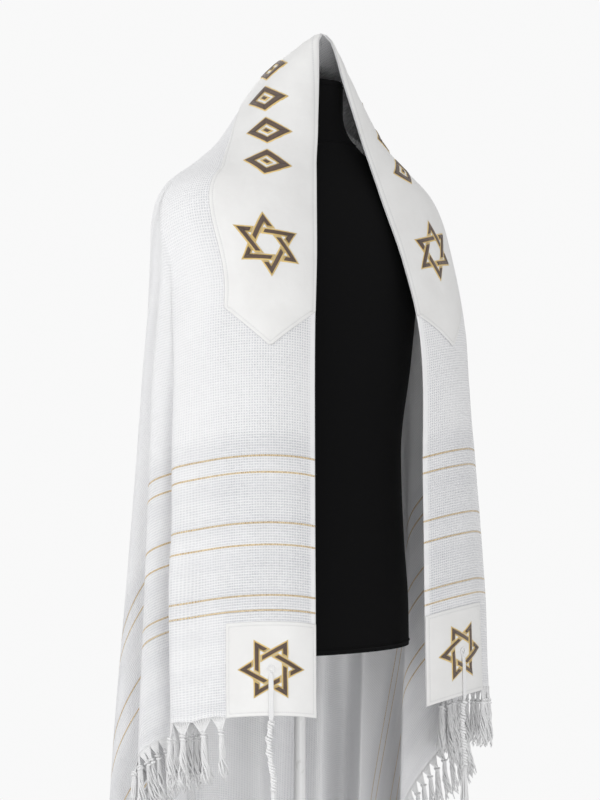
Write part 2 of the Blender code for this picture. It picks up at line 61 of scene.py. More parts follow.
SIDES = (("right", -1), ("left", 1))

# Lengths over which threads turn from the nape's fan to plumb, and how closely the back's stay together
CORNER_BLEND = 0.16
BACK_BLEND = 0.30
BACK_GATHER = 0.74

# Layers, outward from the cloth's inner face
WEAVE_THICKNESS = 0.0014
SATIN_THICKNESS = 0.0007
SATIN_START = 0.0020
SATIN_RISE = 0.0011
EMBROIDERY_START = 0.0032
EMBROIDERY_THICKNESS = 0.0004

# Fringe and corner strings
TASSELS = 52
TASSEL_LENGTH = 0.082
TASSEL_ROOM = 0.009
KNOT_DROP = 0.017
KNOT_SLANT = 0.80
STRANDS = 8
YARN_RADIUS = 0.00120
STRING_RADIUS = 0.00125
STAND_OFF_REAR = 0.027
WOUND_TURNS = 11
WOUND_LENGTH = 0.088
WOUND_RADIUS = 0.0017
KNOT_PLACES = (0.02, 0.24, 0.47, 0.71, 0.97)
LOOSE_LENGTH = 0.150
EYELET_RADIUS = 0.0042
PLUMB = Vector((0, 0, -1))

# Half rings of the hanging cloth: the front edge, the widest place of each side and the middle of the back
# Columns: drop, edge_x, edge_y, right_x, left_x, side_y, back_y
RINGS = (
    (0.0, 0.0, -0.052, 0.003, 0.003, -0.05, -0.047),
    (0.004, 0.006, -0.054, 0.01, 0.01, -0.046, -0.038),
    (0.014, 0.01, -0.057, 0.018, 0.018, -0.038, -0.018),
    (0.032, 0.014, -0.062, 0.034, 0.034, -0.026, 0.022),
    (0.055, 0.018, -0.067, 0.052, 0.052, -0.016, 0.062),
    (0.08, 0.023, -0.073, 0.069, 0.069, -0.008, 0.082),
    (0.113, 0.03, -0.081, 0.092, 0.092, -0.003, 0.094),
    (0.147, 0.037, -0.089, 0.118, 0.12, 0.004, 0.103),
    (0.176, 0.044, -0.096, 0.154, 0.16, 0.01, 0.112),
    (0.2, 0.049, -0.103, 0.19, 0.198, 0.014, 0.12),
    (0.225, 0.054, -0.11, 0.208, 0.22, 0.014, 0.128),
    (0.3, 0.07, -0.132, 0.216, 0.236, 0.01, 0.146),
    (0.4, 0.086, -0.15, 0.216, 0.248, 0.006, 0.168),
    (0.6, 0.089, -0.154, 0.213, 0.268, 0.002, 0.2),
    (0.8, 0.09, -0.157, 0.211, 0.284, 0.0, 0.224),
    (1.0, 0.091, -0.16, 0.213, 0.294, 0.0, 0.24),
    (1.6, 0.092, -0.16, 0.22, 0.3, 0.0, 0.256),
)

# Folds. The place runs from 0 at the front edge by 1 and 3, the panels' ends, to 4 in the middle of the back
# Columns: place, spread, depth, slide, start
FOLDS_RIGHT = (
    (0.64, 0.16, -0.016, 0.0, 0.62),
    (0.92, 0.16, 0.018, 0.014, 0.28),
    (1.21, 0.17, -0.056, -0.006, 0.26),
    (1.5, 0.16, 0.03, 0.004, 0.28),
    (1.84, 0.18, -0.064, 0.0, 0.34),
    (2.18, 0.18, 0.042, 0.008, 0.34),
    (2.52, 0.16, -0.09, -0.006, 0.38),
    (2.8, 0.15, 0.046, 0.004, 0.38),
    (3.06, 0.14, -0.07, 0.0, 0.36),
    (3.3, 0.14, 0.036, 0.0, 0.34),
    (3.54, 0.15, -0.048, 0.0, 0.36),
    (3.82, 0.15, 0.028, 0.0, 0.42),
)
FOLDS_LEFT = (
    (0.72, 0.17, -0.014, 0.0, 0.6),
    (0.97, 0.17, 0.016, 0.01, 0.3),
    (1.26, 0.17, -0.052, -0.004, 0.28),
    (1.56, 0.16, 0.028, 0.0, 0.3),
    (1.88, 0.16, -0.08, 0.0, 0.36),
    (2.24, 0.18, 0.04, 0.006, 0.36),
    (2.56, 0.16, -0.088, 0.0, 0.38),
    (2.84, 0.15, 0.046, 0.0, 0.38),
    (3.1, 0.14, -0.064, 0.0, 0.36),
    (3.34, 0.14, 0.036, 0.0, 0.36),
    (3.6, 0.16, -0.044, 0.0, 0.4),
)
FOLD_GROWTH = 1.05
FOLD_HASTE = 1.15

# Gold lines across the cloth, by their distance from each fringed end
GOLD_LINES = (0.330, 0.309, 0.245, 0.217, 0.153, 0.134)

# Dress form sections, from the neck down
# Columns: drop, half_width, front_y, back_y, squareness
FORM = (
    (0.078, 0.052, -0.062, 0.042, 2.0),
    (0.1, 0.053, -0.062, 0.046, 2.0),
    (0.13, 0.056, -0.062, 0.056, 2.0),
    (0.152, 0.066, -0.066, 0.07, 2.1),
    (0.17, 0.088, -0.072, 0.082, 2.1),
    (0.19, 0.124, -0.08, 0.09, 2.2),
    (0.21, 0.154, -0.09, 0.094, 2.2),
    (0.235, 0.168, -0.102, 0.098, 2.2),
    (0.28, 0.17, -0.118, 0.102, 2.2),
    (0.36, 0.164, -0.13, 0.102, 2.2),
    (0.46, 0.152, -0.126, 0.096, 2.2),
    (0.58, 0.138, -0.116, 0.088, 2.2),
    (0.7, 0.144, -0.118, 0.094, 2.2),
    (0.78, 0.152, -0.12, 0.1, 2.2),
    (0.842, 0.154, -0.12, 0.102, 2.2),
)


def lerp(a, b, t):
    return a + (b - a) * t


def smooth(t):
    t = min(1.0, max(0.0, t))
    return t * t * (3 - 2 * t)


def smooth_table(rows):
    """Values between a table's rows, on monotone cubic curves, as a function of its first column."""
    table = np.array(rows, float)
    x, y = table[:, 0], table[:, 1:]
    slope = np.diff(y, axis=0) / np.diff(x)[:, None]
    tangent = np.vstack([slope[:1], (slope[:-1] + slope[1:]) / 2, slope[-1:]])
    turns = slope[:-1] * slope[1:] <= 0
    tangent[1:-1][turns] = 0.0

    def value(at):
        at = min(max(at, x[0]), x[-1])
        k = min(int(np.searchsorted(x, at, "right")) - 1, len(x) - 2)
        h = x[k + 1] - x[k]
        t = (at - x[k]) / h
        return (
            (2 * t**3 - 3 * t**2 + 1) * y[k]
            + (t**3 - 2 * t**2 + t) * h * tangent[k]
            + (3 * t**2 - 2 * t**3) * y[k + 1]
            + (t**3 - t**2) * h * tangent[k + 1]
        )

    return value


ring_at = smooth_table(RINGS)
form_section = smooth_table(FORM)
RING_SAMPLES = 48
DROP_SAMPLES = np.linspace(0.0, RINGS[-1][0], 161)
SHARES = np.linspace(0.0, 1.0, 65)


def ring_curve(drop, half):
    """Points of one half ring, from the front edge round the side to the middle of the back."""
    edge_x, edge_y, right_x, left_x, side_y, back_y = ring_at(drop)
    side_x = left_x if half == "left" else right_x
    angle = np.linspace(0.0, math.pi / 2, RING_SAMPLES)
    front = np.stack([lerp(edge_x, side_x, np.sin(angle)), lerp(edge_y, side_y, 1 - np.cos(angle))], 1)
    back = np.stack([side_x * np.cos(angle), lerp(side_y, back_y, np.sin(angle))], 1)
    return np.vstack([front, back[1:]])


class HalfRings:
    """The half rings of one side, each read at the same shares of its length."""

    def __init__(self, half):
        rows = []
        lengths = []
        for drop in DROP_SAMPLES:
            points = ring_curve(drop, half)
            s = np.concatenate([[0.0], np.cumsum(np.linalg.norm(np.diff(points, axis=0), axis=1))])
            lengths.append(s[-1])
            rows.append(np.stack([np.interp(SHARES, s / s[-1], points[:, k]) for k in (0, 1)], 1))
        self.plan = np.array(rows)
        self.lengths = np.array(lengths)
        drops = np.repeat(DROP_SAMPLES[:, None], len(SHARES), 1)
        steps = np.sqrt((np.diff(self.plan, axis=0) ** 2).sum(2) + np.diff(drops, axis=0) ** 2)
        self.paths = np.vstack([np.zeros(len(SHARES)), np.cumsum(steps, axis=0)])

    def point(self, drop, share):
        """The plan position at a drop and a share of the half ring."""
        row = min(drop / DROP_SAMPLES[-1], 1.0) * (len(DROP_SAMPLES) - 1)
        column = min(max(share, 0.0), 1.0) * (len(SHARES) - 1)
        r, c = min(int(row), len(DROP_SAMPLES) - 2), min(int(column), len(SHARES) - 2)
        near = lerp(self.plan[r, c], self.plan[r, c + 1], column - c)
        far = lerp(self.plan[r + 1, c], self.plan[r + 1, c + 1], column - c)
        return lerp(near, far, row - r)

    def drop(self, path, share):
        """How far below the peak a thread has come after this length, at a share of the ring."""
        column = min(max(share, 0.0), 1.0) * (len(SHARES) - 1)
        c = min(int(column), len(SHARES) - 2)
        lengths = lerp(self.paths[:, c], self.paths[:, c + 1], column - c)
        return float(np.interp(path, lengths, DROP_SAMPLES))


HALVES = {"right": HalfRings("right"), "left": HalfRings("left")}


def half_ring(path):
    """Length of the half ring about this far down the cloth."""
    return float(np.interp(max(path - 0.08, 0.05), DROP_SAMPLES, HALVES["right"].lengths))


def top_share(u, v):
    return math.atan2(v, u) / (math.pi / 2) if u + v > 1e-9 else 0.5


def front_share(u, v, path):
    turned = smooth((u - CORNER_U) / CORNER_BLEND)
    return lerp(top_share(CORNER_U, v), v / half_ring(path), turned)


def back_share(u, v, path):
    turned = smooth((v - CORNER_V) / BACK_BLEND)
    return lerp(top_share(u, CORNER_V), 1 - BACK_GATHER * u / half_ring(path), turned)


def hang(u, v):
    """Length of thread from the nape, share of the ring and fold place of the cloth's point, u positive."""
    if u <= CORNER_U and v <= CORNER_V:
        share = top_share(u, v)
        return math.hypot(u, v), share, 4 * share
    if v <= CORNER_V:
        path = u + math.hypot(CORNER_U, v) - CORNER_U
        place = lerp(4 * top_share(CORNER_U, v), v / CORNER_V, smooth((u - CORNER_U) / CORNER_BLEND))
        return path, front_share(u, v, path), place
    if u <= CORNER_U:
        path = v + math.hypot(CORNER_V, u) - CORNER_V
        place = lerp(4 * top_share(u, CORNER_V), 4 - u / CORNER_U, smooth((v - CORNER_V) / CORNER_BLEND))
        return path, back_share(u, v, path), place
    radius = math.hypot(u - CORNER_U, v - CORNER_V)
    turn = math.atan2(v - CORNER_V, u - CORNER_U) / (math.pi / 2)
    path = math.hypot(CORNER_U, CORNER_V) + radius
    front = front_share(CORNER_U + radius, CORNER_V, path)
    back = back_share(CORNER_U, CORNER_V + radius, path)
    corner_place = 4 * top_share(CORNER_U, CORNER_V)
    return path, lerp(front, back, turn), lerp(corner_place, 1 + 2 * turn, smooth(radius / CORNER_BLEND))


def cloth_point(u, v):
    """Where the cloth's point (u, v) hangs. Negative u is the wearer's right."""
    side = 1.0 if u >= 0 else -1.0
    folds = FOLDS_LEFT if u >= 0 else FOLDS_RIGHT
    rings = HALVES["left" if u >= 0 else "right"]
    path, share, place = hang(abs(u), v)
    drop = rings.drop(path, share)
    here = rings.point(drop, share)
    step = 0.01
    tangent = rings.point(drop, min(share + step, 1.0)) - rings.point(drop, max(share - step, 0.0))
    length = float(np.linalg.norm(tangent))
    tangent = tangent / length if length > 1e-9 else np.array([-1.0, 0.0])
    outward = np.array([tangent[1], -tangent[0]])
    for at, spread, depth, slide, start in folds:
        grown = smooth((path - start) / FOLD_GROWTH * FOLD_HASTE)
        bump = math.exp(-(((place - at) / spread) ** 2)) * grown
        here = here + outward * (depth * bump) + tangent * (slide * bump)
    return np.array([0.0 if u == 0 else side * here[0], here[1], PEAK - drop])


def cloth_frame(u, v):
    """The cloth's point, its outward normal and its direction along u."""
    e = 0.0015
    u_low, u_high = max(u - e, -HALF_LENGTH), min(u + e, HALF_LENGTH)
    v_low, v_high = max(v - e, 0.0), min(v + e, WIDTH)
    du = cloth_point(u_high, v) - cloth_point(u_low, v)
    dv = cloth_point(u, v_high) - cloth_point(u, v_low)
    normal = np.cross(du, dv)
    return cloth_point(u, v), normal / np.linalg.norm(normal), du / np.linalg.norm(du)


def lifted(u, v, height):
    """A point at a height over the cloth's inner face."""
    point, normal, _ = cloth_frame(u, v)
    return point + normal * height


# Materials


def preset(node, **values):
    """Sets a node's inputs by name, with spaces written as underscores."""
    for name, value in values.items():
        node.inputs[name.replace("_", " ")].default_value = value


class Nodes:
    """Short names for building a material's node tree."""

    def __init__(self, name, roughness, sheen=0.0, specular=0.5):
        self.material = bpy.data.materials.new(name)
        self.material.use_nodes = True
        self.tree = self.material.node_tree
        self.shader = self.tree.nodes["Principled BSDF"]
        preset(self.shader, Roughness=roughness, Sheen_Weight=sheen, Sheen_Roughness=0.45)
        preset(self.shader, Specular_IOR_Level=specular)

    def feed(self, socket, value):
        """Gives an input a number, a colour or another node's output."""
        if isinstance(value, float):
            socket.default_value = value
        elif isinstance(value, tuple):
            socket.default_value = (*value, 1.0)
        else:
            self.tree.links.new(value, socket)

    def math(self, operation, a, b=0.0, clamp=False):
        node = self.tree.nodes.new("ShaderNodeMath")
        node.operation = operation
        node.use_clamp = clamp
        self.feed(node.inputs[0], a)
        self.feed(node.inputs[1], b)
        return node.outputs[0]

    def plus(self, a, b):
        return self.math("ADD", a, b)

    def minus(self, a, b):
        return self.math("SUBTRACT", a, b)

    def times(self, a, b, clamp=False):
        return self.math("MULTIPLY", a, b, clamp)

    def uv(self, name):
        """A UV map, whole and as its two lengths."""
        node = self.tree.nodes.new("ShaderNodeUVMap")
        node.uv_map = name
        split = self.tree.nodes.new("ShaderNodeSeparateXYZ")
        self.feed(split.inputs[0], node.outputs["UV"])
        return node.outputs["UV"], split.outputs["X"], split.outputs["Y"]

    def object_vector(self):
        return self.tree.nodes.new("ShaderNodeTexCoord").outputs["Object"]

    def noise(self, vector, scale, detail=3.0, roughness=0.5):
        node = self.tree.nodes.new("ShaderNodeTexNoise")
        preset(node, Scale=scale, Detail=detail, Roughness=roughness)
        self.feed(node.inputs["Vector"], vector)
        return node.outputs["Fac"]

    def ramp(self, value, low, high):
        """Maps a value between two limits to 0 and 1."""
        node = self.tree.nodes.new("ShaderNodeMapRange")
        node.interpolation_type = "SMOOTHSTEP"
        preset(node, From_Min=low, From_Max=high)
        self.feed(node.inputs["Value"], value)
        return node.outputs["Result"]

    def mix(self, factor, a, b):
        node = self.tree.nodes.new("ShaderNodeMix")
        node.data_type = "RGBA"
        self.feed(node.inputs[0], factor)
        self.feed(node.inputs[6], a)
        self.feed(node.inputs[7], b)
        return node.outputs[2]

    def waves(self, value, pitch):
        """A smooth wave from 0 to 1 along a length."""
        turned = self.math("SINE", self.times(value, 2 * math.pi / pitch))
        return self.plus(self.times(turned, 0.5), 0.5)

    def shade(self, name, value):
        self.feed(self.shader.inputs[name], value)

    def bump(self, height, distance, strength=1.0):
        node = self.tree.nodes.new("ShaderNodeBump")
        preset(node, Distance=distance, Strength=strength)
        self.feed(node.inputs["Height"], height)
        self.shade("Normal", node.outputs["Normal"])


# Colours, and the pitches of weave and stitches in metres
WOOL_WHITE = (0.94, 0.94, 0.95)
# The hollow colour is painted shade for the waffle weave's hollows
WOOL_HOLLOW_SHADE = (0.60, 0.61, 0.65)
BAND_GREY = (0.82, 0.82, 0.84)
GOLD_THREAD = (0.44, 0.27, 0.10)
GOLD_LIGHT = (0.88, 0.68, 0.36)
WAFFLE_PITCH = 0.0034
BORDER = 0.365
BAND_PITCH = 0.0465
LINE_WIDTH = 0.0024
SATIN_WHITE = (0.880, 0.877, 0.868)
SATIN_SHADE = (0.835, 0.830, 0.820)
# Painted shade for the satin's stitch groove and folded edge
SEAM_SHADE = (0.66, 0.66, 0.67)
SATIN_PITCH = (0.0011, 0.0007)
STITCH_PITCH = 0.0026
# Shaded and lit tones of the embroidery threads: painted shade between the stitches, painted highlight on
# their crests
GOLD_SHADED = (0.86, 0.55, 0.14)
GOLD_LIT = (1.0, 0.82, 0.40)
BROWN_SHADED = (0.040, 0.022, 0.014)
BROWN_LIT = (0.230, 0.150, 0.110)
YARN_WHITE = (0.96, 0.96, 0.96)
# Painted shade in the grooves between the yarn's plies
YARN_SHADE = (0.80, 0.80, 0.81)
YARN_PITCH = 0.0022
JERSEY_BLACK = (0.0035, 0.0035, 0.0038)
JERSEY_LINT = (0.012, 0.012, 0.013)
PAINT_WHITE = (0.80, 0.80, 0.80)
PAINT_SCUFFED = (0.70, 0.70, 0.69)


def wool_material():
    """Waffle weave with denser borders and thin gold lines near both fringed ends, and painted shade in the
    weave's hollows.
    """
    n = Nodes("wool", 0.88, sheen=0.25, specular=0.20)
    preset(n.shader, Subsurface_Weight=0.30, Subsurface_Radius=(1.0, 1.0, 1.0), Subsurface_Scale=0.006)
    vector, u, v = n.uv("cloth")
    from_end = n.minus(HALF_LENGTH, n.math("ABSOLUTE", u))
    along_u = n.waves(u, WAFFLE_PITCH)
    along_v = n.waves(v, WAFFLE_PITCH)
    border = n.times(n.ramp(from_end, BORDER, BORDER - 0.012), n.ramp(from_end, 0.004, 0.010))
    cells = n.times(along_u, n.plus(along_v, n.times(border, 0.35)), clamp=True)
    uneven = n.noise(vector, 11.0, 4.0)
    soft = n.noise(vector, 160.0, 2.0)
    # The hollows get more painted shade at random, and more along the top edge, fading out from 0.105 to
    # 0.165 m below it
    weight = n.plus(0.34, n.times(n.ramp(uneven, 0.30, 0.68), 0.22))
    weight = n.plus(weight, n.times(n.ramp(v, 0.165, 0.105), 0.34))
    selvedge = n.times(n.ramp(v, 0.005, 0.010), n.ramp(v, WIDTH - 0.005, WIDTH - 0.010))
    depth = n.times(n.times(cells, weight), selvedge)
    depth = n.times(depth, n.plus(0.6, n.times(soft, 0.8)), clamp=True)
    bands = n.times(n.ramp(n.waves(from_end, BAND_PITCH), 0.35, 0.80), border)
    ground = n.mix(n.times(bands, 0.32), WOOL_WHITE, BAND_GREY)
    # Painted shade: the weave's hollows are darkened toward the hollow colour
    ground = n.mix(depth, ground, WOOL_HOLLOW_SHADE)
    line = None
    for distance in GOLD_LINES:
        off = n.math("ABSOLUTE", n.minus(from_end, distance))
        one = n.ramp(off, LINE_WIDTH * 0.66, LINE_WIDTH * 0.34)
        line = one if line is None else n.math("MAXIMUM", line, one)
    glint = n.ramp(n.noise(vector, 620.0, 2.0), 0.40, 0.60)
    thread = n.mix(glint, GOLD_THREAD, GOLD_LIGHT)
    floats = n.times(n.waves(v, WAFFLE_PITCH * 0.75), n.plus(0.2, n.times(uneven, 0.8)))
    shown = n.times(line, n.minus(1.0, n.times(floats, 0.75)), clamp=True)
    n.shade("Base Color", n.mix(shown, ground, thread))
    n.shade("Metallic", n.times(shown, 0.35))
    n.shade("Roughness", n.minus(0.88, n.times(shown, 0.42)))
    fuzz = n.noise(vector, 900.0, 2.0)
    height = n.plus(n.times(depth, -1.2), n.times(fuzz, 0.40))
    n.bump(n.plus(height, n.times(line, 0.8)), 0.0008, 0.85)
    return n.material


def satin_material():
    """Fine satin weave with a soft sheen, faint wrinkles and a line of top stitching inside each edge;
    painted shade darkens the stitch groove and the folded edge.
    """
    n = Nodes("satin", 0.42, sheen=0.20, specular=0.42)
    vector, u, v = n.uv("cloth")
    hem_vector, edge, along = n.uv("hem")
    cloudy = n.noise(vector, 16.0, 4.0)
    ground = n.mix(n.ramp(cloudy, 0.3, 0.7), SATIN_SHADE, SATIN_WHITE)
    # Painted shade: darker along the stitch groove, most between the stitches, and at the folded edge
    off_stitch = n.math("ABSOLUTE", n.minus(edge, STITCH_LINE))
    groove = n.ramp(off_stitch, 0.0010, 0.0002)
    dashes = n.ramp(n.waves(along, STITCH_PITCH), 0.15, 0.35)
    fold = n.ramp(edge, 0.0012, 0.0001)
    stitch_shade = n.times(groove, n.minus(0.62, n.times(dashes, 0.42)))
    shade = n.math("MAXIMUM", stitch_shade, n.times(fold, 0.55), clamp=True)
    n.shade("Base Color", n.mix(shade, ground, SEAM_SHADE))
    floats = n.times(n.waves(u, SATIN_PITCH[0]), n.waves(v, SATIN_PITCH[1]))
    wrinkles = n.noise(vector, 24.0, 4.0, 0.55)
    pucker = n.times(n.ramp(edge, 0.014, 0.003), n.noise(hem_vector, 150.0, 2.0))
    height = n.plus(n.times(floats, 0.12), n.times(wrinkles, 1.6))
    height = n.plus(height, n.times(pucker, 0.35))
    height = n.plus(height, n.times(n.times(groove, dashes), 0.25))
    n.bump(height, 0.0022, 0.60)
    n.shade("Roughness", n.plus(0.38, n.times(cloudy, 0.14)))
    return n.material


def thread_material(name, dark, light, roughness, pitch):
    """Laid embroidery thread, with fine ridges across each bar: painted shade in the grooves between stitches
    and painted highlight on their crests.
    """
    n = Nodes(name, roughness, sheen=0.2, specular=0.5)
    vector, u, _ = n.uv("stitch")
    strands = n.waves(u, pitch)
    uneven = n.noise(vector, 260.0, 3.0)
    mixed = n.times(strands, n.plus(0.45, n.times(uneven, 0.9)), clamp=True)
    # Painted shade in the grooves and painted highlight on the crests, unevenly
    n.shade("Base Color", n.mix(mixed, dark, light))
    n.bump(mixed, 0.0004, 0.9)
    return n.material


def yarn_material():
    """Twisted white yarn: slanting plies with fine fibres, and painted shade in the grooves between the
    plies.
    """
    n = Nodes("yarn", 0.80, sheen=0.3, specular=0.3)
    _, u, v = n.uv("stitch")
    plies = n.waves(n.plus(u, n.times(v, YARN_PITCH)), YARN_PITCH)
    fibres = n.noise(n.object_vector(), 1400.0, 2.0)
    # Painted shade: darker in the grooves between the plies, unevenly with the fibres
    n.shade("Base Color", n.mix(n.times(plies, n.plus(0.3, fibres), clamp=True), YARN_WHITE, YARN_SHADE))
    n.bump(n.plus(n.times(plies, -1.0), n.times(fibres, 0.3)), 0.0004, 0.8)
    return n.material


def jersey_material():
    """Black stretch jersey of the dress form's cover."""
    n = Nodes("black_jersey", 0.92, sheen=0.02, specular=0.10)
    where = n.object_vector()
    knit = n.noise(where, 1600.0, 2.0)
    lint = n.ramp(n.noise(where, 700.0, 2.0), 0.68, 0.74)
    n.shade("Base Color", n.mix(lint, JERSEY_BLACK, JERSEY_LINT))
    n.bump(n.plus(knit, n.times(n.noise(where, 60.0, 3.0), 0.5)), 0.0004, 0.5)
    return n.material


def paint_material():
    """White satin paint on steel, faintly uneven, with slight wear."""
    n = Nodes("white_steel", 0.34, specular=0.5)
    where = n.object_vector()
    scuffs = n.ramp(n.noise(where, 45.0, 5.0, 0.65), 0.62, 0.72)
    n.shade("Base Color", n.mix(scuffs, PAINT_WHITE, PAINT_SCUFFED))
    n.bump(n.noise(where, 900.0, 2.0), 0.0001, 0.25)
    n.shade("Roughness", n.plus(0.30, n.times(scuffs, 0.16)))
    return n.material


# Meshes


def in_scene(name, data):
    """An object of this data, in the scene."""
    obj = bpy.data.objects.new(name, data)
    bpy.context.scene.collection.objects.link(obj)
    return obj


def mesh_object(name, vertices, faces, uv_name, uvs, material):
    """A smooth mesh in the scene, with one UV map given by vertex."""
    data = bpy.data.meshes.new(name)
    data.from_pydata(vertices, [], faces)
    add_map(data, uv_name, uvs)
    data.shade_smooth()
    data.materials.append(material)
    return in_scene(name, data)


def add_map(data, name, uvs):
    """A UV map in metres: along the cloth, along a thread, or in from a folded edge and along it."""
    layer = data.uv_layers.new(name=name)
    corners = np.empty(len(data.loops), dtype=np.int32)
    data.loops.foreach_get("vertex_index", corners)
    layer.data.foreach_set("uv", np.array(uvs, np.float32).reshape(-1, 2)[corners].ravel())


def grid_object(name, points, uvs, material, flip=False):
    """A mesh of quads through a grid of points."""
    columns, rows = points.shape[:2]
    index = np.arange(columns * rows).reshape(columns, rows)
    quads = np.stack([index[:-1, :-1], index[1:, :-1], index[1:, 1:], index[:-1, 1:]], -1).reshape(-1, 4)
    if flip:
        quads = quads[:, ::-1]
    return mesh_object(name, points.reshape(-1, 3).tolist(), quads.tolist(), "cloth", uvs, material)


class Threads:
    """A growing mesh of threads, mapped along and round each."""

    def __init__(self):
        self.vertices, self.faces, self.uvs = [], [], []

    def tube(self, points, radii, sides):
        """Adds a round tube through points. The radius is one number, or one for each point."""
        start = len(self.vertices)
        points = [Vector(p) for p in points]
        travelled = 0.0
        side = None
        for k, p in enumerate(points):
            ahead = points[min(k + 1, len(points) - 1)] - points[max(k - 1, 0)]
            ahead.normalize()
            if side is None:
                side = ahead.orthogonal().normalized()
            side = (side - ahead * side.dot(ahead)).normalized()
            other = ahead.cross(side)
            if k:
                travelled += (p - points[k - 1]).length
            radius = radii[k] if isinstance(radii, list) else radii
            for m in range(sides):
                angle = 2 * math.pi * m / sides
                self.vertices.append(p + (side * math.cos(angle) + other * math.sin(angle)) * radius)
                self.uvs.append((travelled, m / sides))
        for k in range(len(points) - 1):
            for m in range(sides):
                a, b = start + k * sides + m, start + k * sides + (m + 1) % sides
                self.faces.append((a, b, b + sides, a + sides))
        self.faces.append(tuple(range(start + sides - 1, start - 1, -1)))
        last = start + (len(points) - 1) * sides
        self.faces.append(tuple(range(last, last + sides)))

    def finish(self, name, material):
        return mesh_object(name, [tuple(v) for v in self.vertices], self.faces, "stitch", self.uvs, material)


def turn_outward(data, weld=0.0):
    """Points a mesh's faces outward, after joining vertices that lie together."""
    mesh = bmesh.new()
    mesh.from_mesh(data)
    if weld:
        bmesh.ops.remove_doubles(mesh, verts=mesh.verts, dist=weld)
    bmesh.ops.recalc_face_normals(mesh, faces=mesh.faces)
    mesh.to_mesh(data)
    mesh.free()


def thicken(obj, thickness, offset=1.0):
    """Gives an open surface a thickness."""
    solidify = obj.modifiers.new("thickness", "SOLIDIFY")
    solidify.thickness = thickness
    solidify.offset = offset
    return obj


def place(obj, slot, *nodes):
    """Rides on the object's one body and hides the CAD nodes it stands for. The slot is not used."""
    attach(obj, "root")
    if nodes:
        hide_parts(*nodes)
    return obj


# Small creases that are pressed or hang in the cloth, by their ends on it
# Columns: u_start, v_start, u_end, v_end, width, depth
CREASES = (
    (-0.5, 0.15, -0.88, 0.118, 0.016, -0.003),
    (-0.46, 0.19, -0.9, 0.168, 0.02, 0.004),
    (-0.6, 0.06, -0.8, 0.052, 0.018, -0.0022),
    (-0.42, 0.235, -0.7, 0.3, 0.022, -0.0036),
    (-0.3, 0.21, -0.52, 0.262, 0.02, 0.003),
    (0.5, 0.12, 0.86, 0.1, 0.018, -0.003),
    (0.48, 0.17, 0.9, 0.176, 0.02, 0.0034),
    (0.36, 0.23, 0.66, 0.31, 0.022, -0.0034),
    (-0.14, 0.3, -0.1, 0.9, 0.022, 0.004),
    (0.06, 0.42, 0.08, 1.2, 0.024, -0.004),
    (0.16, 0.35, 0.2, 1.05, 0.02, 0.0036),
    (-0.2, 0.52, -0.26, 1.24, 0.026, -0.004),
    (-0.04, 0.24, -0.02, 0.56, 0.018, -0.0028),
    (-0.6, 0.16, -0.93, 0.142, 0.011, -0.005),
    (-0.66, 0.185, -0.93, 0.172, 0.014, 0.005),
    (-0.24, 0.15, -0.56, 0.128, 0.018, 0.003),
    (0.26, 0.13, 0.5, 0.14, 0.016, 0.0026),
    (-0.87, 0.01, -0.86, 0.11, 0.01, -0.0012),
    (-0.82, 0.014, -0.89, 0.104, 0.009, 0.0011),
    (0.83, 0.016, 0.9, 0.1, 0.01, -0.0012),
    (-0.335, 0.02, -0.42, 0.085, 0.014, -0.0014),
    (0.3, 0.016, 0.41, 0.07, 0.014, -0.0016),
    (0.18, 0.02, 0.3, 0.034, 0.012, 0.0012),
)


def crease_height(u, v):
    """How far the small creases move the cloth's point (u, v) along its normal."""
    total = 0.0
    for u0, v0, u1, v1, width, depth in CREASES:
        du, dv = u1 - u0, v1 - v0
        length = math.hypot(du, dv)
        t = ((u - u0) * du + (v - v0) * dv) / length**2
        if not 0.0 < t < 1.0:
            continue
        across = abs((u - u0) * dv - (v - v0) * du) / length
        if across > 3 * width:
            continue
        fade = smooth(t / 0.3) * smooth((1 - t) / 0.3)
        total += depth * fade * math.exp(-((across / width) ** 2))
    return total


def spread_lines(stops, counts):
    """Grid lines between stops, with a count of steps for each stretch."""
    lines = [stops[0]]
    for a, b, n in zip(stops, stops[1:], counts):
        lines += [lerp(a, b, (k + 1) / n) for k in range(n)]
    return lines


def both_ways(stops, counts):
    """Grid lines along u, from the right end over the nape to the left end."""
    half = spread_lines(stops, counts)
    return [-u for u in reversed(half[1:])] + half


# The fringed ends are drawn in a little at each pair of knots
SCALLOP_REACH = 0.02
SCALLOP_DEPTH = 0.0035


def make_shawl(material):
    """The woven rectangle, finely sampled from the same hang as its solid."""
    us = both_ways((0.0, 0.03, 0.40, HALF_LENGTH - 0.004, HALF_LENGTH), (8, 42, 66, 2))
    vs = spread_lines((0.0, 0.004, 0.30, WIDTH - 0.004, WIDTH), (2, 38, 96, 2))
    scallop = math.pi / 2 * TASSELS / (WIDTH - 2 * SQUARE)
    points = np.empty((len(us), len(vs), 3))
    uvs = np.empty((len(us), len(vs), 2))
    for i, u in enumerate(us):
        for j, v in enumerate(vs):
            end = smooth((abs(u) - HALF_LENGTH + SCALLOP_REACH) / SCALLOP_REACH)
            fringed = SQUARE < v < WIDTH - SQUARE
            pull = SCALLOP_DEPTH * end * abs(math.sin(scallop * (v - SQUARE))) if fringed else 0.0
            points[i, j] = cloth_point(u - math.copysign(pull, u), v)
            uvs[i, j] = (u, v)
    normals = np.cross(np.gradient(points, axis=0), np.gradient(points, axis=1))
    normals /= np.linalg.norm(normals, axis=2)[:, :, None]
    for i, u in enumerate(us):
        for j, v in enumerate(vs):
            lift = crease_height(u, v)
            if lift:
                points[i, j] += normals[i, j] * lift
    obj = grid_object("shawl_cloth", points, uvs, material)
    return place(thicken(obj, WEAVE_THICKNESS), "wool", "shawl")


# Satin edges, in from the fold
EDGE_STEPS = (0.0, 0.0005, 0.0014, 0.0028, 0.0042, 0.0049, 0.0056, 0.0066, 0.0085)
EDGE_ROUND = 0.0016
STITCH_LINE = 0.0049
GROOVE_WIDTH = 0.0008
GROOVE_DEPTH = 0.0005


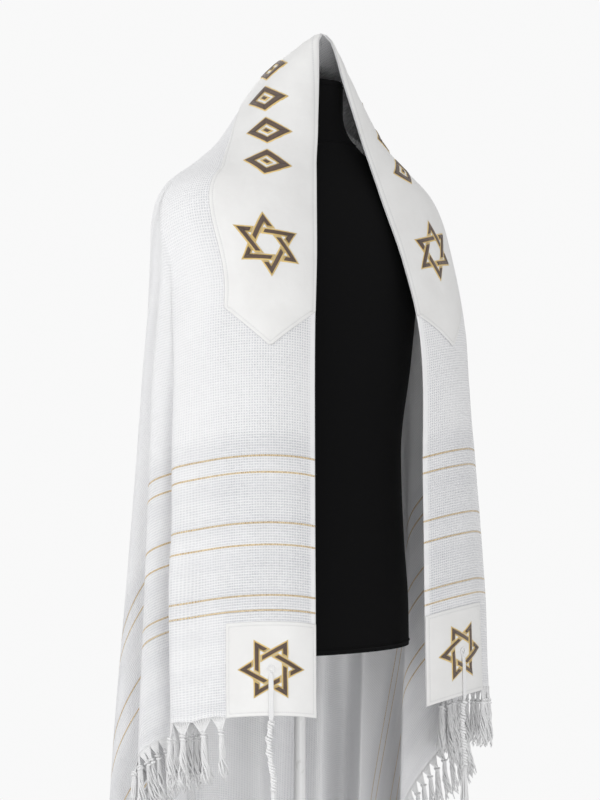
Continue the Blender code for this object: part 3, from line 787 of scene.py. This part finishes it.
def satin_height(edge):
    """Height of a satin piece at a distance from its folded edge: rounded, with a line of top stitching."""
    rounded = math.sqrt(min(1.0, max(0.0, edge / EDGE_ROUND)))
    groove = math.exp(-(((edge - STITCH_LINE) / GROOVE_WIDTH) ** 2))
    return SATIN_START + SATIN_RISE * rounded - GROOVE_DEPTH * groove


def band_half_width(u):
    """Half the neckband's width, which narrows to a point beyond its straight part."""
    return BAND_WIDTH / 2 * min(1.0, max(0.0, (BAND_TIP - abs(u)) / (BAND_TIP - BAND_SIDE)))


def make_satin(name, spots, material, node, lowest=0.0, flip=False):
    """A satin piece from a grid of spots: place on the cloth, distance in from the edge, length along it."""
    columns, rows = len(spots), len(spots[0])
    points, uvs, hems = (np.empty((columns, rows, n)) for n in (3, 2, 2))
    for i, row in enumerate(spots):
        for j, (u, v, edge, along) in enumerate(row):
            point, normal, _ = cloth_frame(u, max(v, lowest))
            points[i, j] = point + normal * (satin_height(edge) + crease_height(u, v))
            uvs[i, j] = (u, v)
            hems[i, j] = (edge, along)
    obj = grid_object(name, points, uvs, material, flip)
    add_map(obj.data, "hem", hems)
    return place(thicken(obj, SATIN_THICKNESS, -1.0), "satin", node)


def make_neckband(material):
    """The satin neckband, with both pointed ends."""
    spots = []
    for u in both_ways((0.0, 0.03, BAND_SIDE, BAND_TIP - 0.002), (8, 48, 26)):
        half_width = band_half_width(u)
        slant = math.sqrt(2) if abs(u) > BAND_SIDE else 1.0
        squeeze = min(1.0, half_width / (EDGE_STEPS[-1] * slant * 1.3))
        edges = [e * slant * squeeze for e in EDGE_STEPS]
        edges += [lerp(edges[-1], half_width, t) for t in (0.2, 0.4, 0.6, 0.8, 1.0)]
        across = [(e, BAND_WIDTH / 2 - half_width + e) for e in edges]
        across += [(e, BAND_WIDTH - v) for e, v in reversed(across[:-1])]
        spots.append([(u, v, edge / slant, u * slant) for edge, v in across])
    return make_satin("neckband_satin", spots, material, "neckband", lowest=0.0002)


def make_square(name, sign, v_start, material, node):
    """A satin corner square with top-stitched edges."""
    inset = EDGE_STEPS[-1]
    lines = list(EDGE_STEPS) + [lerp(inset, SQUARE - inset, k / 12) for k in range(1, 12)]
    lines += [SQUARE - e for e in reversed(EDGE_STEPS)]
    spots = []
    for a in lines:
        row = []
        for b in lines:
            edge = min(a, b, SQUARE - a, SQUARE - b)
            along = a if edge in (b, SQUARE - b) else b
            row.append((sign * (HALF_LENGTH - SQUARE + a), v_start + b, edge, along))
        spots.append(row)
    return make_satin(name, spots, material, node, flip=sign < 0)


# Embroidery

STAR_AT = 0.322
BAND_STAR_RADIUS = 0.0385
CORNER_STAR_RADIUS = 0.0405
STAR_WIDTH = 0.0056
CROSSING_GAP = 0.0040
LOZENGE_PLACES = (0.0, 0.052, 0.104, 0.156, 0.208)
LOZENGE = (0.0205, 0.0290, 0.0084)
STUD = (0.0036, 0.0052)

# Layers of thread: name, growth past the pattern, height over the first layer, dome
LAYERS = (("gold", 0.0023, 0.0000, 0.0004), ("brown", 0.0, 0.0006, 0.0006))
BAR_STEP = 0.0035
BAR_COLUMNS = 6
BAR_SKIRT = 0.0009


def crossing(first, second):
    """Where two lines meet, each given by its normal's angle and its distance from the centre."""
    (a, d), (b, e) = first, second
    det = math.cos(a) * math.sin(b) - math.sin(a) * math.cos(b)
    return (d * math.sin(b) - e * math.sin(a)) / det, (e * math.cos(a) - d * math.cos(b)) / det


def star_quads(radius, turn, grow):
    """Quads of an interlaced six-pointed star: two arms at each point, each cut where it passes under."""
    out = radius / 2 + grow
    inn = radius / 2 - STAR_WIDTH - grow
    quads = []
    for point in range(6):
        before_two, before, here, after = (turn + math.radians(60 * (point + k)) for k in (-2, -1, 0, 1))
        long_cut = (before_two, radius / 2 - STAR_WIDTH - CROSSING_GAP + grow)
        short_cut = (here, radius / 2 + CROSSING_GAP - grow)
        tip = crossing((before, out), (after, out))
        notch = crossing((before, inn), (after, inn))
        quads.append((tip, crossing((before, out), long_cut), crossing((before, inn), long_cut), notch))
        quads.append((tip, crossing((after, out), short_cut), crossing((after, inn), short_cut), notch))
    return quads


def lozenge_quads(half_u, half_v, width, grow):
    """Quads of a hollow lozenge: one mitred bar for each side."""
    slant = math.hypot(half_u, half_v) / half_v
    out_u, in_u = half_u + grow * slant, half_u - (width + grow) * slant
    ratio = half_v / half_u
    outer = [(out_u, 0), (0, out_u * ratio), (-out_u, 0), (0, -out_u * ratio)]
    inner = [(in_u, 0), (0, in_u * ratio), (-in_u, 0), (0, -in_u * ratio)]
    return [(outer[k], outer[(k + 1) % 4], inner[(k + 1) % 4], inner[k]) for k in range(4)]


def stud_quads(half_u, half_v, grow):
    """One filled lozenge."""
    slant = math.hypot(half_u, half_v) / half_v
    u, v = half_u + grow * slant, (half_u + grow * slant) * half_v / half_u
    return [((u, 0), (0, v), (-u, 0), (0, -v))]


def embroider(name, sign, centre, quads, height, dome, material):
    """Raised bars on the satin. Each quad runs along its first side, with a rounded section across it."""
    threads = Threads()
    rows = BAR_COLUMNS + 1
    for quad in quads:
        a, b, c, d = (np.array(p, float) for p in quad)
        length = float(np.linalg.norm(b - a))
        steps = max(3, int(length / BAR_STEP))
        start = len(threads.vertices)
        for i in range(steps + 1):
            for j in range(rows):
                t, s = i / steps, j / BAR_COLUMNS
                p = lerp(lerp(a, b, t), lerp(d, c, t), s)
                edge = min(1.0, 4 * min(s, 1 - s))
                rise = height - BAR_SKIRT if j in (0, BAR_COLUMNS) else height + dome * math.sqrt(edge)
                u, v = centre[0] + p[0] * sign, centre[1] + p[1]
                threads.vertices.append(lifted(u, v, rise + crease_height(u, v)))
                threads.uvs.append((t * length, s * STAR_WIDTH))
        for i in range(steps):
            for j in range(BAR_COLUMNS):
                k = start + i * rows + j
                threads.faces.append((k, k + rows, k + rows + 1, k + 1))
    obj = threads.finish(name, material)
    turn_outward(obj.data)
    return place(thicken(obj, EMBROIDERY_THICKNESS, -1.0), "satin")


# Yarn


LEANS_AWAY = (0.2, 0.5, 0.8, 1.1)
LEANS_THROUGH = (0.0, 0.12, -0.12, 0.24, -0.24)
LEAN_SAMPLES = (0.2, 0.4, 0.6, 0.8, 1.0)
HANG_STEPS = (0.10, 0.22, 0.36, 0.52, 0.70, 0.86, 1.0)


def clear_lean(cloth, root, away, through):
    """The least lean from plumb at which a tassel hangs clear of the cloth."""
    leans = [away * a + through * b for a in LEANS_AWAY for b in LEANS_THROUGH]
    for lean in leans:
        hangs = [root + (PLUMB + lean) * (TASSEL_LENGTH * share) for share in LEAN_SAMPLES]
        if all(cloth.find_nearest(point)[3] > TASSEL_ROOM for point in hangs):
            return lean
    return away * LEANS_AWAY[-1]


def hem_frame(sign, v):
    """Place, outward normal and direction away from the cloth on a fringed end."""
    point, normal, _ = cloth_frame(sign * HALF_LENGTH, v)
    edge = cloth_point(sign * HALF_LENGTH, v + 0.01) - cloth_point(sign * HALF_LENGTH, v - 0.01)
    away = np.cross(edge, normal) * sign
    return Vector(point), Vector(normal), Vector(away / np.linalg.norm(away))


def make_fringe(name, sign, cloth, rng, material, node):
    """Knotted tassels of warp ends along one short side."""
    threads = Threads()
    pitch = (WIDTH - 2 * SQUARE) / TASSELS
    for k in range(TASSELS):
        v = SQUARE + (k + 0.5) * pitch
        point, normal, away = hem_frame(sign, v)
        across = away.cross(normal).normalized()
        knot = point + normal * 0.001 + (away * KNOT_SLANT + PLUMB * (1 - KNOT_SLANT)) * KNOT_DROP
        away_flat = Vector((away.x, away.y, 0))
        lean = clear_lean(cloth, knot, away_flat, Vector((normal.x, normal.y, 0)).normalized())
        lean += across * rng.uniform(-0.05, 0.05)
        curl = rng.uniform(0, 2 * math.pi)
        for s in range(STRANDS):
            spread = (s - (STRANDS - 1) / 2) / (STRANDS - 1)
            root = Vector(cloth_point(sign * (HALF_LENGTH - 0.004), v + spread * pitch * 0.95))
            root += normal * (WEAVE_THICKNESS / 2)
            angle = 2 * math.pi * s / STRANDS + curl
            around = across * math.cos(angle) + normal * math.sin(angle)
            path = [root, lerp(root, knot, 0.35), lerp(root, knot, 0.7) + around * 0.0006]
            path.append(knot + around * 0.0012)
            reach = TASSEL_LENGTH * rng.uniform(0.80, 1.0) - KNOT_DROP
            wobble = rng.uniform(0, 2 * math.pi)
            flare = rng.uniform(0.3, 1.0)
            for t in HANG_STEPS:
                twist = angle + 5.0 * t
                turned = across * math.cos(twist) + normal * math.sin(twist)
                wide = 0.0019 + 0.0050 * flare * t
                wave = across * (0.0016 * t * math.sin(9 * t + wobble))
                path.append(knot + (PLUMB + lean * (0.4 + 0.6 * t)) * (reach * t) + turned * wide + wave)
            threads.tube(path, [YARN_RADIUS] * (len(path) - 1) + [YARN_RADIUS * 0.45], 4)
        ring = []
        for m in range(10):
            angle = 2 * math.pi * m / 9 * 1.6
            turned = across * math.cos(angle) + normal * math.sin(angle)
            ring.append(knot + turned * 0.0032 + away * (0.0008 * (m - 4.5)))
        threads.tube(ring, 0.00155, 5)
    return place(threads.finish(name, material), "yarn", node)


def make_string(name, sign, v_hole, stand_off, rng, material, node):
    """A corner string: doubled through the hole and over the edge, knotted and wound, then loose strands."""
    threads = Threads()
    hole_u = sign * SQUARE_CENTRE
    point, normal, away = hem_frame(sign, v_hole)
    across = away.cross(normal).normalized()
    through = Vector((normal.x, normal.y, 0)).normalized()
    head = point + away * 0.007 + normal * 0.002
    for s in range(4):
        offset = (s - 1.5) * STRING_RADIUS * 1.15
        for face, lift in ((1, 0.0046), (-1, -0.0014)):
            if face < 0 and s % 2:
                continue
            path = []
            for t in (0.0, 0.2, 0.4, 0.6, 0.8, 1.0):
                u = lerp(hole_u, sign * HALF_LENGTH, t)
                raise_by = lerp(0.0012 if face > 0 else 0.0, lift, smooth(t * 4))
                along = Vector(lifted(u, v_hole, raise_by))
                path.append(along + across * (offset * smooth(t * 3 + 0.2)))
            path.append(lerp(path[-1], head, 0.6) + away * 0.002)
            path.append(head + across * offset * 0.7)
            threads.tube(path, STRING_RADIUS, 6)

    def core(t):
        shift = through * (stand_off * smooth(3 * t)) + across * (0.003 * math.sin(5 * t))
        return head + PLUMB * (WOUND_LENGTH * t) + shift

    threads.tube([core(k / 20) for k in range(21)], WOUND_RADIUS, 8)
    steps = WOUND_TURNS * 12
    for strand in range(2):
        coil = []
        for k in range(steps + 1):
            t = k / steps
            angle = 2 * math.pi * WOUND_TURNS * t + math.pi * strand
            swell = sum(math.exp(-(((t - at) / 0.026) ** 2)) for at in KNOT_PLACES)
            radius = 0.0022 + 0.0012 * swell + 0.0007 * math.sin(31 * t + strand)
            coil.append(core(t) + (across * math.cos(angle) + through * math.sin(angle)) * radius)
        threads.tube(coil, WOUND_RADIUS, 6)
    end = core(1.0)
    for s in range(STRANDS):
        angle = 2 * math.pi * s / STRANDS
        around = across * math.cos(angle) + through * math.sin(angle)
        reach = LOOSE_LENGTH * rng.uniform(0.86, 1.0)
        phase = rng.uniform(0, 2 * math.pi)
        path = []
        for k in range(15):
            t = k / 14
            wave = (across * math.sin(7 * t + phase) + through * math.cos(6 * t + phase)) * (0.0028 * t)
            path.append(end + PLUMB * (reach * t) + around * (0.0016 + 0.0085 * t) + wave)
        threads.tube(path, STRING_RADIUS * 0.9, 6)
    return place(threads.finish(name, material), "yarn", node)


def make_eyelet(name, sign, v_hole, material):
    """A hand-stitched round eyelet in the middle of a corner square."""
    threads = Threads()
    ring = []
    for k in range(25):
        angle = 2 * math.pi * k / 24
        u = sign * (SQUARE_CENTRE + EYELET_RADIUS * math.cos(angle))
        v = v_hole + EYELET_RADIUS * math.sin(angle)
        ring.append(Vector(lifted(u, v, SATIN_START + SATIN_RISE + 0.0004)))
    threads.tube(ring, 0.0008, 6)
    return place(threads.finish(name, material), "satin")


# Dress form and stand

FORM_SIDES = 96
FORM_ROWS = 90
# Seams of the form's cover: drop and radius
FORM_SEAMS = ((0.163, 0.0011), (0.836, 0.0014), (0.086, 0.0011))
WELD = 0.00002


def form_point(drop, angle, scale=1.0):
    """A point of the form's section at a drop from the peak, as (x, y)."""
    half_width, front_y, back_y, squareness = form_section(drop)
    c, s = math.cos(angle), math.sin(angle)
    x = half_width * math.copysign(abs(c) ** (2 / squareness), c) * scale
    deep = (back_y - front_y) / 2 * math.copysign(abs(s) ** (2 / squareness), s) * scale
    return x, (front_y + back_y) / 2 + deep


def make_form(material):
    """The dress form: a smooth loft through its sections, with a domed neck cap."""
    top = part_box("dress_form")[1][2]
    drop_top, drop_bottom = FORM[0][0], FORM[-1][0]
    levels = [(drop_top, 0.0, 0.0), (drop_top, 0.80, 0.0), (drop_top, 0.97, 0.0012), (drop_top, 1.0, 0.003)]
    levels += [(lerp(drop_top, drop_bottom, k / (FORM_ROWS - 1)), 1.0, 0.0) for k in range(1, FORM_ROWS)]
    levels += [(drop_bottom, 0.97, 0.0), (drop_bottom, 0.0, 0.0)]
    points = np.empty((len(levels), FORM_SIDES + 1, 3))
    for i, (drop, scale, sink) in enumerate(levels):
        for j in range(FORM_SIDES + 1):
            angle = 2 * math.pi * (j % FORM_SIDES) / FORM_SIDES
            points[i, j] = (*form_point(drop, angle, scale), top - (drop - drop_top) - sink)
    obj = grid_object("dress_form_cover", points, np.zeros(points.shape[:2] + (2,)), material, flip=True)
    turn_outward(obj.data, WELD)
    return place(obj, "black_jersey", "dress_form")


def make_form_seams(material):
    """Raised seams of the cover: round the base of the neck, the lower rim and the top of the neck."""
    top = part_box("dress_form")[1][2] + FORM[0][0]
    threads = Threads()
    for drop, radius in FORM_SEAMS:
        ring = [(*form_point(drop, 2 * math.pi * k / 72), top - drop) for k in range(73)]
        threads.tube(ring, radius, 6)
    return place(threads.finish("dress_form_seams", material), "black_jersey")


def lathe(name, profile, material, sides):
    """A round piece about the stand's axis, from its radius and height at each step."""
    points = np.empty((len(profile), sides + 1, 3))
    for i, (radius, z) in enumerate(profile):
        for j in range(sides + 1):
            angle = 2 * math.pi * (j % sides) / sides
            points[i, j] = (radius * math.cos(angle), radius * math.sin(angle), z)
    obj = grid_object(name, points, np.zeros(points.shape[:2] + (2,)), material)
    turn_outward(obj.data, WELD)
    obj.data.set_sharp_from_angle(angle=math.radians(50))
    return obj


BASE_ROUND = 0.003
SOCKET_HEIGHT = 0.014
SOCKET_GAP = 0.0002


def make_stand(material):
    """Slim pole, round base and the socket that joins them."""
    low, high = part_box("stand_pole")
    radius = high[0]
    profile = [(0.0, low[2]), (radius, low[2]), (radius, high[2]), (0.0, high[2])]
    place(lathe("pole_tube", profile, material, 48), "white_steel", "stand_pole")
    low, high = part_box("stand_base")
    rim, top = high[0], high[2]
    profile = [(0.0, low[2]), (rim - BASE_ROUND / 2, low[2]), (rim, low[2] + BASE_ROUND / 2)]
    for k in range(5):
        angle = k * math.pi / 8
        out, up = BASE_ROUND * math.cos(angle), BASE_ROUND * math.sin(angle)
        profile.append((rim - BASE_ROUND + out, top - BASE_ROUND + up))
    profile += [(radius * 1.9, top), (0.0, top)]
    place(lathe("base_plate", profile, material, 96), "white_steel", "stand_base")
    profile = [(radius + SOCKET_GAP, top), (radius * 2.2, top), (radius * 2.2, top + 0.010)]
    profile += [(radius * 1.9, top + SOCKET_HEIGHT), (radius + SOCKET_GAP, top + SOCKET_HEIGHT)]
    place(lathe("pole_socket", profile, material, 48), "white_steel")


# Camera, light and floor

CAMERA_AZIMUTH = -36.0
CAMERA_DISTANCE = 3.0
CAMERA_HEIGHT = 1.30
CAMERA_LENS = 99.3


def make_camera():
    """The photograph's viewpoint: level, from the wearer's front right."""
    camera = in_scene("camera", bpy.data.cameras.new("camera"))
    angle = math.radians(CAMERA_AZIMUTH)
    camera.location = (math.sin(angle) * CAMERA_DISTANCE, -math.cos(angle) * CAMERA_DISTANCE, CAMERA_HEIGHT)
    camera.rotation_euler = (math.radians(90), 0, angle)
    camera.data.lens = CAMERA_LENS
    bpy.context.scene.camera = camera


BACKDROP = 0.945
AMBIENT = 0.62
FLOOR_GREY = 0.70
FLOOR_RADIUS = 3.2
FLOOR_AT = (0.0, 0.0, -0.0002)

# Columns: name, azimuth, height, distance, size, power, height aimed at
LIGHTS = (
    ("key", -98.0, 2.2, 2.8, 1.2, 30.0, 1.2),
    ("fill", 6.0, 1.8, 3.2, 2.0, 8.0, 1.2),
    ("back", 150.0, 2.4, 2.8, 2.0, 16.0, 1.2),
    ("low", -22.0, 0.70, 2.5, 0.8, 14.0, 0.90),
)


def make_lights():
    """Large soft lights round the object, and a pale surround."""
    for name, azimuth, height, distance, size, power, aimed_at in LIGHTS:
        data = bpy.data.lights.new(name, "AREA")
        data.size = size
        data.energy = power
        light = in_scene(name, data)
        angle = math.radians(azimuth)
        light.location = (math.sin(angle) * distance, -math.cos(angle) * distance, height)
        aim = Vector((0, 0, aimed_at)) - light.location
        light.rotation_euler = aim.to_track_quat("-Z", "Y").to_euler()
    world = bpy.data.worlds.new("surround")
    world.use_nodes = True
    tree = world.node_tree
    seen = tree.nodes["Background"]
    preset(seen, Color=(BACKDROP, BACKDROP, BACKDROP, 1.0))
    around = tree.nodes.new("ShaderNodeBackground")
    preset(around, Color=(1.0, 1.0, 1.0, 1.0), Strength=AMBIENT)
    mix = tree.nodes.new("ShaderNodeMixShader")
    rays = tree.nodes.new("ShaderNodeLightPath")
    tree.links.new(rays.outputs["Is Camera Ray"], mix.inputs[0])
    tree.links.new(around.outputs[0], mix.inputs[1])
    tree.links.new(seen.outputs[0], mix.inputs[2])
    tree.links.new(mix.outputs[0], tree.nodes["World Output"].inputs["Surface"])
    bpy.context.scene.world = world
    bpy.context.scene.view_settings.view_transform = "Standard"


def make_floor():
    """A plain pale floor."""
    bpy.ops.mesh.primitive_circle_add(vertices=96, radius=FLOOR_RADIUS, fill_type="NGON", location=FLOOR_AT)
    floor = bpy.context.object
    floor.name = "floor"
    material = bpy.data.materials.new("floor")
    material.use_nodes = True
    shader = material.node_tree.nodes["Principled BSDF"]
    preset(shader, Base_Color=(FLOOR_GREY, FLOOR_GREY, FLOOR_GREY, 1.0), Roughness=0.8)
    floor.data.materials.append(material)


def make_embroidery(silks):
    """Stars on the neckband and on each corner, and a row of plain lozenges round the neck."""
    for layer, grow, lift, dome in LAYERS:
        band_star = star_quads(BAND_STAR_RADIUS, 0.0, grow)
        corner_star = star_quads(CORNER_STAR_RADIUS, math.radians(30), grow)
        lozenge = lozenge_quads(*LOZENGE, grow) + stud_quads(*STUD, grow)
        for side, sign in SIDES:
            motifs = [(f"band_star_{side}", sign * STAR_AT, BAND_WIDTH / 2, band_star)]
            for end, v in (("front", SQUARE / 2), ("rear", WIDTH - SQUARE / 2)):
                motifs.append((f"corner_star_{end}_{side}", sign * SQUARE_CENTRE, v, corner_star))
            for k, u in enumerate(LOZENGE_PLACES):
                if u or side == "right":
                    motifs.append((f"lozenge_{side}_{k}", sign * u, BAND_WIDTH / 2, lozenge))
            height = EMBROIDERY_START + lift
            for name, u, v, quads in motifs:
                embroider(f"{name}_{layer}", sign, (u, v), quads, height, dome, silks[layer])


def main():
    """Builds the stage, the sewn pieces, the form and the stand."""
    make_camera()
    make_lights()
    make_floor()
    wool, satin = wool_material(), satin_material()
    yarn = yarn_material()
    jersey = jersey_material()
    silks = {
        "gold": thread_material("gold_thread", GOLD_SHADED, GOLD_LIT, 0.36, 0.0009),
        "brown": thread_material("brown_thread", BROWN_SHADED, BROWN_LIT, 0.42, 0.0013),
    }
    shawl = make_shawl(wool)
    sewn = [make_neckband(satin)]
    bpy.context.view_layer.update()
    cloth = BVHTree.FromObject(shawl, bpy.context.evaluated_depsgraph_get())
    for side, sign in SIDES:
        sewn.append(make_square(f"square_front_{side}", sign, 0.0, satin, f"corner_front_{side}"))
        sewn.append(make_square(f"square_rear_{side}", sign, WIDTH - SQUARE, satin, f"corner_rear_{side}"))
        rng = random.Random(40 + sign)
        sewn.append(make_fringe(f"tassels_{side}", sign, cloth, rng, yarn, f"fringe_{side}"))
        for end, v, stand_off in (("front", SQUARE / 2, 0.0), ("rear", WIDTH - SQUARE / 2, STAND_OFF_REAR)):
            node = f"string_{end}_{side}"
            sewn.append(make_string(f"corner_string_{end}_{side}", sign, v, stand_off, rng, yarn, node))
            sewn.append(make_eyelet(f"eyelet_{end}_{side}", sign, v, yarn))
    make_embroidery(silks)
    form = make_form(jersey)
    make_form_seams(jersey)
    make_stand(paint_material())


main()
